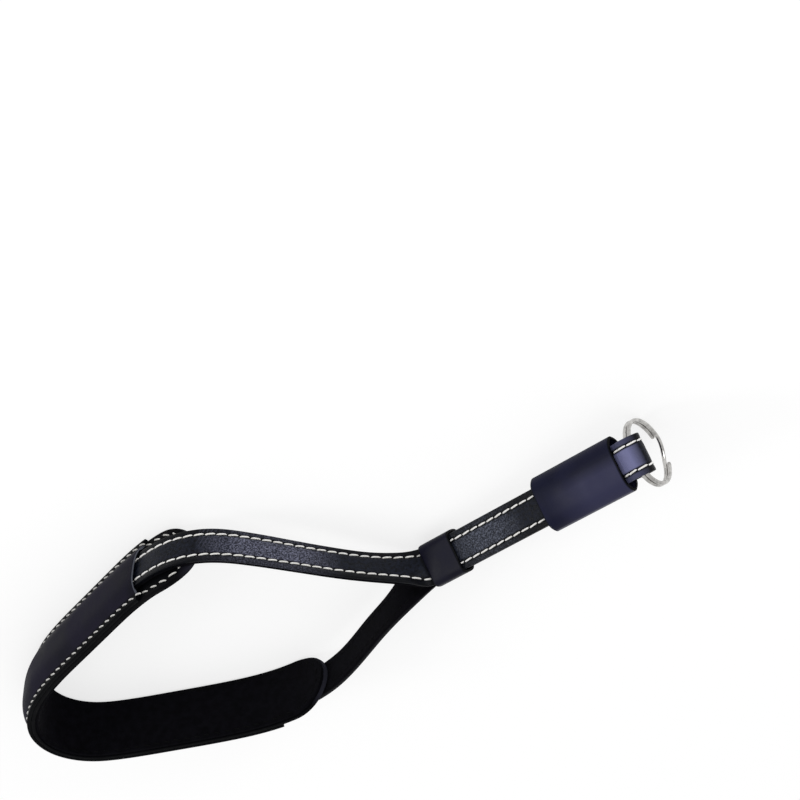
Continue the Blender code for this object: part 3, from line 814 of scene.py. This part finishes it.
# Pad base: a wide strip of smooth black leather with two round ends, under the
# strap. The cover is sewn on it, and a row of stitches runs round each end.
PAD_BASE_THICKNESS = 0.0012
PAD_SUEDE_THICKNESS = 0.0006
PAD_SUEDE_INSET = 0.0005
PAD_END_ROUND = 0.0130
PAD_TIPS = (LOOP_START + 0.0580, LOOP_END - 0.0670)
BASE_TOP = -SEAM_TO_SUEDE - SEAM_GAP
BASE_FOOT = BASE_TOP - PAD_BASE_THICKNESS
BASE_ACROSS = [0.0, 0.0020, 0.0040, 0.0060, 0.0076, 0.0084, 0.0088, 0.0092]
LINING_FOOT = BASE_FOOT - SEAM_GAP - PAD_SUEDE_THICKNESS
PAD_LEATHER = {
    "dark": (0.0058, 0.0056, 0.0104), "light": (0.0112, 0.0101, 0.0195), "roughness": 0.55,
    "specular": 0.03, "grain": 0.00030, "grain_depth": 0.00002,
}
PAD_RIM_SHEEN = (0.0205, 0.0210, 0.0285)
PAD_RIM_LENGTH = 0.0060


def end_shares(distances, tips):
    """Return the share of the full width that a round-ended sheet has there."""
    from_tip = np.minimum(distances - tips[0], tips[1] - distances)
    inward = np.clip(1.0 - from_tip / PAD_END_ROUND, 0.0, 1.0)
    return np.sqrt(np.maximum(1.0 - inward ** 2, 0.0))


def pad_stations(tips):
    """Return stations along the pad, crowded at both round ends."""
    turn = np.linspace(0.10, math.pi / 2, 26)
    near_tip = PAD_END_ROUND * (1.0 - np.cos(turn))
    middle = np.linspace(tips[0] + PAD_END_ROUND, tips[1] - PAD_END_ROUND, 200)[1:-1]
    return np.concatenate((tips[0] + near_tip, middle, tips[1] - near_tip[::-1]))


def sweep_pad(name, half_section, tips):
    """Sweep a sheet of the pad between its two round ends."""
    stations = pad_stations(tips)
    return sweep_leather(name, stations, mirrored_section(half_section), widths=end_shares(stations, tips))


base_half = [(across, BASE_TOP) for across in BASE_ACROSS]
base_half += rounded_corner(PAD_WIDTH / 2, BASE_TOP, 0.0003)
base_half += [(PAD_WIDTH / 2, BASE_FOOT + 0.0002), (PAD_WIDTH / 2 - 0.0001, BASE_FOOT), (0.0, BASE_FOOT)]
pad_base = sweep_pad("pad_base_leather", base_half, PAD_TIPS)


def shaded_base_sheened_tips(tree, colour):
    """Paint a pale sheen on the rim of both round ends, and paint the rest of the base black as shade under
    the strap and cover.
    """
    _, along, _ = marked_place(tree)
    from_tip = add_math(
        tree, "MINIMUM", add_math(tree, "SUBTRACT", along, PAD_TIPS[0]),
        add_math(tree, "SUBTRACT", PAD_TIPS[1], along),
    )
    # Painted shade over the base away from its tips, and a painted sheen at the tips.
    colour = mixed_in(tree, colour, spread(tree, from_tip, 0.0, 1.0, 0.0, PAD_RIM_LENGTH), DYE_AND_SHADE_TONE)
    return mixed_in(tree, colour, spread(tree, from_tip, 0.8, 0.0, 0.0, PAD_RIM_LENGTH), PAD_RIM_SHEEN)


pad_finish = leather_finish("pad_leather_finish", dye_and_painted_light=shaded_base_sheened_tips, **PAD_LEATHER)
pad_base.data.materials.append(pad_finish)
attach(pad_base, "strap")
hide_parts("pad_base")


# Pad lining: the same black suede over the whole wrist side of the pad, glued
# and sewn down, and cut a little short of the leather all round.
lining_tips = (PAD_TIPS[0] + PAD_SUEDE_INSET, PAD_TIPS[1] - PAD_SUEDE_INSET)
lining_edge = PAD_WIDTH / 2 - PAD_SUEDE_INSET
pad_lining_half = [(across, BASE_FOOT) for across in (0.0, 0.0030, 0.0060, 0.0090, lining_edge)]
pad_lining_half += [
    (across, LINING_FOOT + (BASE_FOOT - out)) for across, out in
    reversed(rounded_corner(lining_edge, BASE_FOOT, 0.0003))
]
pad_lining_half += [(across, LINING_FOOT) for across in (0.0084, 0.0060, 0.0030, 0.0)]
pad_suede = sweep_pad("pad_lining_suede", pad_lining_half, lining_tips)
pad_suede.data.materials.append(suede)
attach(pad_suede, "strap")
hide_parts("pad_lining")


# Pad cover: smooth black leather, moulded over the strap and sewn to the base
# along both edges. The strap runs in and out through a curved mouth at each end.
PAD_COVER_THICKNESS = 0.0009
COVER_MARGIN = 0.0018
COVER_SEAM_MARGIN = 0.0018
COVER_SETBACK = 0.0187
COVER_CROWN = 0.00205
COVER_FLATNESS = 3.8
COVER_EASE = 1.3
COVER_STEP = 0.0008
COVER_SHARES = [0.0, 0.15, 0.3, 0.42, 0.5, 0.57, 0.64, 0.7, 0.76, 0.82, 0.88, 0.93, 0.97, 1.0]
COVER_LOW = -SEAM_TO_SUEDE
COVER_LEVEL = COVER_LOW + PAD_COVER_THICKNESS
MOUTHS = (PAD_TIPS[0] + COVER_SETBACK, PAD_TIPS[1] - COVER_SETBACK)
MOUTH_DEPTH = 0.0009
MOUTH_FADE = 0.0060
MOUTH_SLANT = 0.0020
MOUTH_ROUND = 0.00012
MOUTH_ROUND_LENGTH = 0.0003
SKIVE_DEPTH = 0.00045
SKIVE_LENGTH = 0.0030
CUT_LEATHER = (0.085, 0.090, 0.110)

# Distances between which an effect starts and is full, or is full and fades out
SEWN_SIDE = (0.0075, 0.0081)
CUT_SIDE = (0.0074, 0.0083)
CUT_REACH = (0.00005, 0.00025)


def cover_rise(across, foot, level):
    """Return the height of the moulded cover, which falls gently from its crown to its foot."""
    share = min(abs(across) / foot, 1.0)
    return level + COVER_CROWN * (1.0 - share ** COVER_FLATNESS) ** COVER_EASE


cover_edge = PAD_WIDTH / 2
outer_foot = cover_edge - COVER_MARGIN
inner_foot = cover_edge - COVER_SEAM_MARGIN
cover_half = [
    (share * outer_foot, cover_rise(share * outer_foot, outer_foot, COVER_LEVEL)) for share in COVER_SHARES
]
cover_half += [(outer_foot + 0.0004, COVER_LEVEL)]
cover_half += rounded_corner(cover_edge, COVER_LEVEL, 0.00025)
cover_half += [(cover_edge, BASE_TOP + 0.0001), (cover_edge - 0.0001, BASE_TOP)]
cover_half += [
    (share * inner_foot, cover_rise(share * inner_foot, inner_foot, BASE_TOP if share == 1.0 else COVER_LOW))
    for share in reversed(COVER_SHARES)
]
cover_section = mirrored_section(cover_half)
mouth_stations = np.array([0.0, 0.0001, 0.0003])
cover_stations = np.concatenate((
    MOUTHS[0] + mouth_stations,
    np.linspace(MOUTHS[0] + COVER_STEP, MOUTHS[1] - COVER_STEP, round((MOUTHS[1] - MOUTHS[0]) / COVER_STEP)),
    MOUTHS[1] - mouth_stations[::-1],
))
across, along, out = section_grid(cover_stations, cover_section)
scoop = MOUTH_DEPTH * (1.0 - (across / cover_edge) ** 2)
shift = scoop * np.maximum(0.0, 1.0 - (along - MOUTHS[0]) / MOUTH_FADE)
slant = MOUTH_SLANT * (1.0 + across / cover_edge) / 2
shift -= (scoop + slant) * np.maximum(0.0, 1.0 - (MOUTHS[1] - along) / MOUTH_FADE)
from_mouth = np.minimum(along - MOUTHS[0], MOUTHS[1] - along)
outer_side = np.arange(len(cover_section)) < len(COVER_SHARES)
outer_side |= outer_side[-np.arange(len(cover_section))]
skived = SKIVE_DEPTH * np.maximum(0.0, 1.0 - from_mouth / SKIVE_LENGTH)
under = ~outer_side & (cover_section[:, 1] > COVER_LEVEL)
out = out + np.where(under[None, :], skived, 0.0)
rounded_lip = MOUTH_ROUND * np.maximum(0.0, 1.0 - from_mouth / MOUTH_ROUND_LENGTH)
out = out - np.where(outer_side[None, :], rounded_lip, 0.0)
cover_places, _ = route_places(along + shift, across, out)
pad_cover = skin_grid("pad_cover_leather", cover_places, np.stack([across, from_mouth, out], axis=-1))


def cut_mouth(tree, colour):
    """Show the paler cut edge of the leather at both mouths, and dye the sewn margins."""
    across, from_end, _ = marked_place(tree)
    side = add_math(tree, "ABSOLUTE", across)
    colour = mixed_in(tree, colour, spread(tree, side, 0.0, 1.0, *SEWN_SIDE), DYE_AND_SHADE_TONE)
    amount = add_math(
        tree, "MULTIPLY", spread(tree, from_end, 1.0, 0.0, *CUT_REACH),
        spread(tree, side, 1.0, 0.0, *CUT_SIDE),
    )
    return mixed_in(tree, colour, amount, CUT_LEATHER)


cover_finish = leather_finish("pad_cover_finish", dye_and_painted_light=cut_mouth, cloud_scale=90.0, **PAD_LEATHER)
pad_cover.data.materials.append(cover_finish)
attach(pad_cover, "strap")
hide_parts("pad_cover")


# Pad stitching: the same cream thread along both edges of the cover, and round
# each end of the base, with its finish made darker as painted shade. The thread shows black on the suede.
PAD_ROW = PAD_WIDTH / 2 - 0.0015
PAD_ROW_END = 0.0012
PAD_STITCH_LENGTH = 0.0025
PAD_STITCH_SLANT = math.radians(-16.0)
END_ROW_REACH = 0.0102
END_ROW_HALF = 0.0081
END_ROW_START = COVER_SETBACK - 0.0006


def round_end_row(tip, inward, level, outward_sign):
    """Return a row round one end of the base, from one mouth corner to the other."""
    straight_end = tip + inward * END_ROW_START
    centre = tip + inward * PAD_END_ROUND
    angles = np.linspace(0.0, math.pi, 40)
    along = centre - inward * END_ROW_REACH * np.sin(angles)
    across = END_ROW_HALF * np.cos(angles)
    along = np.concatenate(([straight_end], along, [straight_end]))
    across = np.concatenate(([END_ROW_HALF], across, [-END_ROW_HALF]))
    points, outward = route_places(along, across, np.full(len(along), level))
    return points, outward * outward_sign


def pad_rows(edge_level, end_level, outward_sign=1.0):
    """Return the rows along both edges of the cover and round both ends of the base."""
    rows = edge_rows(PAD_ROW, edge_level, MOUTHS[0] + PAD_ROW_END, MOUTHS[1] - PAD_ROW_END, outward_sign)
    for tip, inward in zip(PAD_TIPS, (1.0, -1.0)):
        rows.append(round_end_row(tip, inward, end_level, outward_sign))
    return rows


top_rows = pad_rows(COVER_LEVEL + THREAD_THICKNESS * 0.15, BASE_TOP + THREAD_THICKNESS * 0.25)
# Painted shade: a darker copy of the cream thread's finish.
shaded_pad_thread = thread_finish(
    "shaded_pad_thread", (0.42, 0.41, 0.39), (0.74, 0.73, 0.70), roughness=0.66, specular=0.25,
)
pad_stitches = sew("pad_stitches", top_rows, shaded_pad_thread, PAD_STITCH_LENGTH, PAD_STITCH_SLANT)
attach(pad_stitches, "strap")
pad_under_level = LINING_FOOT + THREAD_THICKNESS * 0.2
pad_under_stitches = sew(
    "pad_under_stitches", pad_rows(pad_under_level, pad_under_level, -1.0), black_thread,
    PAD_STITCH_LENGTH, PAD_STITCH_SLANT,
)
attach(pad_under_stitches, "strap")


# Keeper and guard sleeve: flat tubes of smooth charcoal leather, folded round
# the tail and closed by a butt seam at the back. Both slide along it.
TUBE_LOOSENESS = 0.0003
TUBE_THICKNESS = 0.00065
TUBE_END_EASE = 0.00016
TUBE_BULGE = 0.00010
TUBE_END_ROW = 0.0006
TUBE_SEAM_DEPTH = 0.00018
TUBE_SEAM_HALF_WIDTH = 0.00022
BORE_HALF_HEIGHT = LEG_OFFSET + SEAM_TO_FACE + TUBE_LOOSENESS
LEVEL_SHARE = 0.8
LEVEL_STEPS = 9
SIDE_STEPS = 16
CUT_END_REACH = (0.0001, 0.0006)
TUBE_LEATHER = {
    "roughness": 0.46, "grain": 0.00024, "grain_depth": 0.000012, "wave_depth": 0.0008, "cloud_scale": 110.0,
}


def tube_outline(half_width, half_height, flatness, roundness, growth):
    """Return the outline of a flat tube's bore, grown outwards by its wall.

    It is nearly level over the legs and bends round to a fold on each side.
    """
    level_across = np.linspace(LEVEL_SHARE, 0.0, LEVEL_STEPS) * half_width
    level = half_height * (1.0 - (level_across / half_width) ** flatness) ** (1.0 / roundness)
    side = np.linspace(0.0, level[0], SIDE_STEPS, endpoint=False)
    side_across = half_width * (1.0 - (side / half_height) ** roundness) ** (1.0 / flatness)
    quarter = np.stack([np.concatenate((side_across, level_across)), np.concatenate((side, level))], axis=-1)
    upper = np.concatenate((quarter, quarter[-2::-1] * (-1.0, 1.0)))
    outline = np.concatenate((upper, upper[-2:0:-1] * (1.0, -1.0)))
    slope = np.roll(outline, -1, axis=0) - np.roll(outline, 1, axis=0)
    return outline + unit(np.stack([slope[:, 1], -slope[:, 0]], axis=-1)) * growth


def fold_tube(name, middle, length, bore):
    """Fold a leather tube round the tail, eased at its cut ends."""
    inner, outer = tube_outline(*bore, 0.0), tube_outline(*bore, TUBE_THICKNESS)
    half_width = outer[:, 0].max()
    half_length = length / 2
    last = half_length - TUBE_END_ROW
    rows = [(outer, True, TUBE_END_EASE - half_length)]
    rows += [(outer, True, a) for a in np.linspace(-last, last, 30)]
    rows += [(outer, True, half_length - TUBE_END_EASE), (outer, False, half_length)]
    rows += [(inner, False, half_length)]
    rows += [(inner, False, a) for a in np.linspace(last, -last, 12)]
    rows += [(inner, False, -half_length), (outer, False, -half_length)]
    places, marks = [], []
    for outline, proud, a in rows:
        section = outline.copy()
        if proud:
            flat = np.clip(1.0 - (section[:, 0] / half_width) ** 2, 0.0, 1.0)
            wave = TUBE_BULGE * flat * (1.0 - (2 * a / length) ** 2)
            seam = TUBE_SEAM_DEPTH * np.exp(-(section[:, 0] / TUBE_SEAM_HALF_WIDTH) ** 2)
            section[:, 1] += np.sign(section[:, 1]) * (wave - seam * (section[:, 1] < 0))
        elif outline is outer:
            lengths = np.linalg.norm(section, axis=1, keepdims=True)
            section = section * (lengths - TUBE_END_EASE) / lengths
        places.append([
            middle + TAIL_ALONG * a + TAIL_WIDTH * float(u) + TAIL_OUT * float(o) for u, o in section
        ])
        marks.append([(u, half_length - abs(a), o) for u, o in section])
    return skin_grid(name, np.array(places), np.array(marks), closed=True)


def cut_end(tree, colour):
    """Darken the burnished cut ends of a tube."""
    return mixed_in(tree, colour, spread(tree, marked_place(tree)[1], 1.0, 0.0, *CUT_END_REACH), DYE_AND_SHADE_TONE)


SLEEVE_LENGTH = 0.0290
SLEEVE_END_DISTANCE = 0.0043
# A bore is given by its half-width, half-height, flatness and roundness
SLEEVE_BORE = (STRAP_WIDTH / 2 + 0.00185, BORE_HALF_HEIGHT + 0.0002, 5.2, 1.18)
SLEEVE_DARK = (0.0018, 0.0024, 0.0120)
SLEEVE_LIGHT = (0.0056, 0.0066, 0.0230)
SLEEVE_SHEEN = (0.0295, 0.0300, 0.0660)
SLEEVE_FOLD_HIGHLIGHT = (0.110, 0.110, 0.140)
SHEEN_ALONG = (-0.012, 0.002)
SHEEN_ACROSS = (-0.0034, -0.0002)
FOLD_HIGHLIGHT_REACH = (-0.0005, -0.0002)
sleeve_middle = tail_point(SLEEVE_END_DISTANCE + SLEEVE_LENGTH / 2, 0.0)


def sheened_sleeve(tree, colour):
    """Paint a paler sheen on the sleeve towards the ring and towards one side, and a highlight along one
    fold, and darken its ends.
    """
    # Painted sheen: paler towards the ring end and towards one side of the sleeve.
    reach = add_node(tree, "ShaderNodeVectorMath", operation="DOT_PRODUCT")
    tree.links.new(add_node(tree, "ShaderNodeTexCoord").outputs["Object"], reach.inputs[0])
    reach.inputs[1].default_value = TAIL_ALONG
    start, end = (sleeve_middle.dot(TAIL_ALONG) + distance for distance in SHEEN_ALONG)
    across = marked_place(tree)[0]
    sheen_amount = add_math(
        tree, "MULTIPLY", spread(tree, reach.outputs["Value"], 0.10, 1.0, start, end),
        spread(tree, across, 0.15, 1.0, *SHEEN_ACROSS),
    )
    colour = mixed_in(tree, colour, sheen_amount, SLEEVE_SHEEN)
    # Painted highlight along one fold of the sleeve.
    start, end = (SLEEVE_BORE[0] + TUBE_THICKNESS + distance for distance in FOLD_HIGHLIGHT_REACH)
    return cut_end(tree, mixed_in(tree, colour, spread(tree, across, 0.0, 0.9, start, end), SLEEVE_FOLD_HIGHLIGHT))


sleeve_finish = leather_finish(
    "sleeve_leather_finish", SLEEVE_DARK, SLEEVE_LIGHT, specular=0.07, dye_and_painted_light=sheened_sleeve, **TUBE_LEATHER,
)
guard_sleeve = fold_tube("guard_sleeve_leather", sleeve_middle, SLEEVE_LENGTH, SLEEVE_BORE)
guard_sleeve.data.materials.append(sleeve_finish)
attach(guard_sleeve, "guard")
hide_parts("guard_sleeve")

KEEPER_LENGTH = 0.0118
KEEPER_BORE = (STRAP_WIDTH / 2 + 0.0004, BORE_HALF_HEIGHT, 20.0, 2.0)
KEEPER_DARK = (0.0040, 0.0040, 0.0110)
KEEPER_LIGHT = (0.0080, 0.0080, 0.0190)
keeper_finish = leather_finish(
    "keeper_leather_finish", KEEPER_DARK, KEEPER_LIGHT, specular=0.08, dye_and_painted_light=cut_end, **TUBE_LEATHER,
)
keeper_middle = tail_point(FORK_DISTANCE - KEEPER_LENGTH / 2, 0.0)
slide_keeper = fold_tube("slide_keeper_leather", keeper_middle, KEEPER_LENGTH, KEEPER_BORE)
slide_keeper.data.materials.append(keeper_finish)
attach(slide_keeper, "keeper")
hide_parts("slide_keeper")


# Split ring: spring steel wire wound in two turns and nickel plated, with one
# step where it crosses from the first turn to the second.
RING_STEP_ANGLE = math.radians(50.0)
RING_STEP_PLACE = math.radians(200.0)
RING_POINTS = 260
RING_SIDES = 20
PLATE_DARK = (0.38, 0.37, 0.36)
PLATE_LIGHT = (0.60, 0.59, 0.57)
PLATE_RELIEF = 0.00002


def winding_tree():
    """Build the tree that winds a wire in turns, with one step between them."""
    numbers = ("Mean radius", "Wire", "Coil pitch", "Step angle", "Step place")
    tree, given = start_tree("winding", "Guide", numbers, "Plating", "Ring")
    wire = add_node(tree, "GeometryNodeCurvePrimitiveLine").outputs[0]
    wire_points = add_node(tree, "GeometryNodeResampleCurve", Curve=wire, Count=RING_POINTS)
    share = add_node(tree, "GeometryNodeSplineParameter").outputs["Factor"]
    turned = add_math(tree, "MULTIPLY", share, add_math(tree, "SUBTRACT", 4 * math.pi, given["Step angle"]))
    step_start = add_math(tree, "SUBTRACT", 2 * math.pi, given["Step angle"])
    past_step = add_math(tree, "SUBTRACT", turned, step_start)
    step_share = add_math(tree, "DIVIDE", past_step, given["Step angle"])
    climb = add_math(tree, "MAXIMUM", 0.0, add_math(tree, "SMOOTH_MIN", 1.0, step_share, 0.0))
    climb = add_math(
        tree, "MULTIPLY", add_math(tree, "MULTIPLY", climb, climb),
        add_math(tree, "MULTIPLY_ADD", climb, -2.0, 3.0),
    )
    angle = add_math(tree, "ADD", turned, given["Step place"])
    flat = add_math(tree, "MULTIPLY", add_math(tree, "COSINE", angle), given["Mean radius"])
    place = add_vector(
        tree, X=add_math(tree, "MULTIPLY", flat, -1.0),
        Y=add_math(tree, "MULTIPLY", add_math(tree, "SINE", angle), given["Mean radius"]),
        Z=add_math(tree, "MULTIPLY", add_math(tree, "SUBTRACT", climb, 0.5), given["Coil pitch"]),
    )
    wound = add_node(tree, "GeometryNodeSetPosition", Geometry=wire_points.outputs[0], Position=place)
    from_end = add_math(tree, "MINIMUM", share, add_math(tree, "SUBTRACT", 1.0, share))
    blunt = add_math(tree, "MINIMUM", 1.0, add_math(tree, "MULTIPLY_ADD", from_end, 60.0, 0.78))
    body = swept(tree, wound.outputs[0], round_section(tree, given["Wire"], RING_SIDES), blunt)
    real = add_node(tree, "GeometryNodeRealizeInstances", Geometry=body)
    hand_out(tree, real.outputs[0], given["Plating"])
    return tree


plating, tree, shader, place = start_finish(
    "nickel_plate", (0.50, 0.49, 0.47), roughness=0.14, specular=0.5, metallic=1.0,
)
plate_colour, plate_cloud = mottled(tree, place, 700.0, PLATE_DARK, PLATE_LIGHT)
scratches = add_noise(tree, place, 3200.0, 2.0)
plate_bump = add_bump(tree, plate_cloud, PLATE_RELIEF, strength=0.3)
link_shader(tree, shader, plate_colour, plate_bump, spread(tree, scratches, 0.08, 0.24, 0.35, 0.75))

ring_guide = add_object("ring_guide", bpy.data.meshes.new("ring_guide"))
ring_mesh = apply_tree(ring_guide, winding_tree(), {
    "Mean radius": RING_MEAN_RADIUS, "Wire": RING_WIRE, "Coil pitch": RING_COIL_PITCH,
    "Step angle": RING_STEP_ANGLE, "Step place": RING_STEP_PLACE, "Plating": plating,
})
ring_down = Vector((0, 0, -1))
ring_down = (ring_down - ring_down.dot(TAIL_WIDTH) * TAIL_WIDTH).normalized()
ring_axis = TAIL_WIDTH.cross(ring_down)
ring_turn = Matrix((ring_down, TAIL_WIDTH, ring_axis)).transposed().to_4x4()
ring_centre = FOLD_CENTRE + ring_down * (RING_MEAN_RADIUS - RING_BOW / 2)
ring_mesh.transform(Matrix.Translation(ring_centre) @ ring_turn)
ring_mesh.shade_smooth()
ring_mesh.set_sharp_from_angle(angle=SHARP_ANGLE)
ring_mesh.name = "split_ring_wire"
split_ring = add_object("split_ring_wire", ring_mesh)
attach(split_ring, "ring")
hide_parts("split_ring")
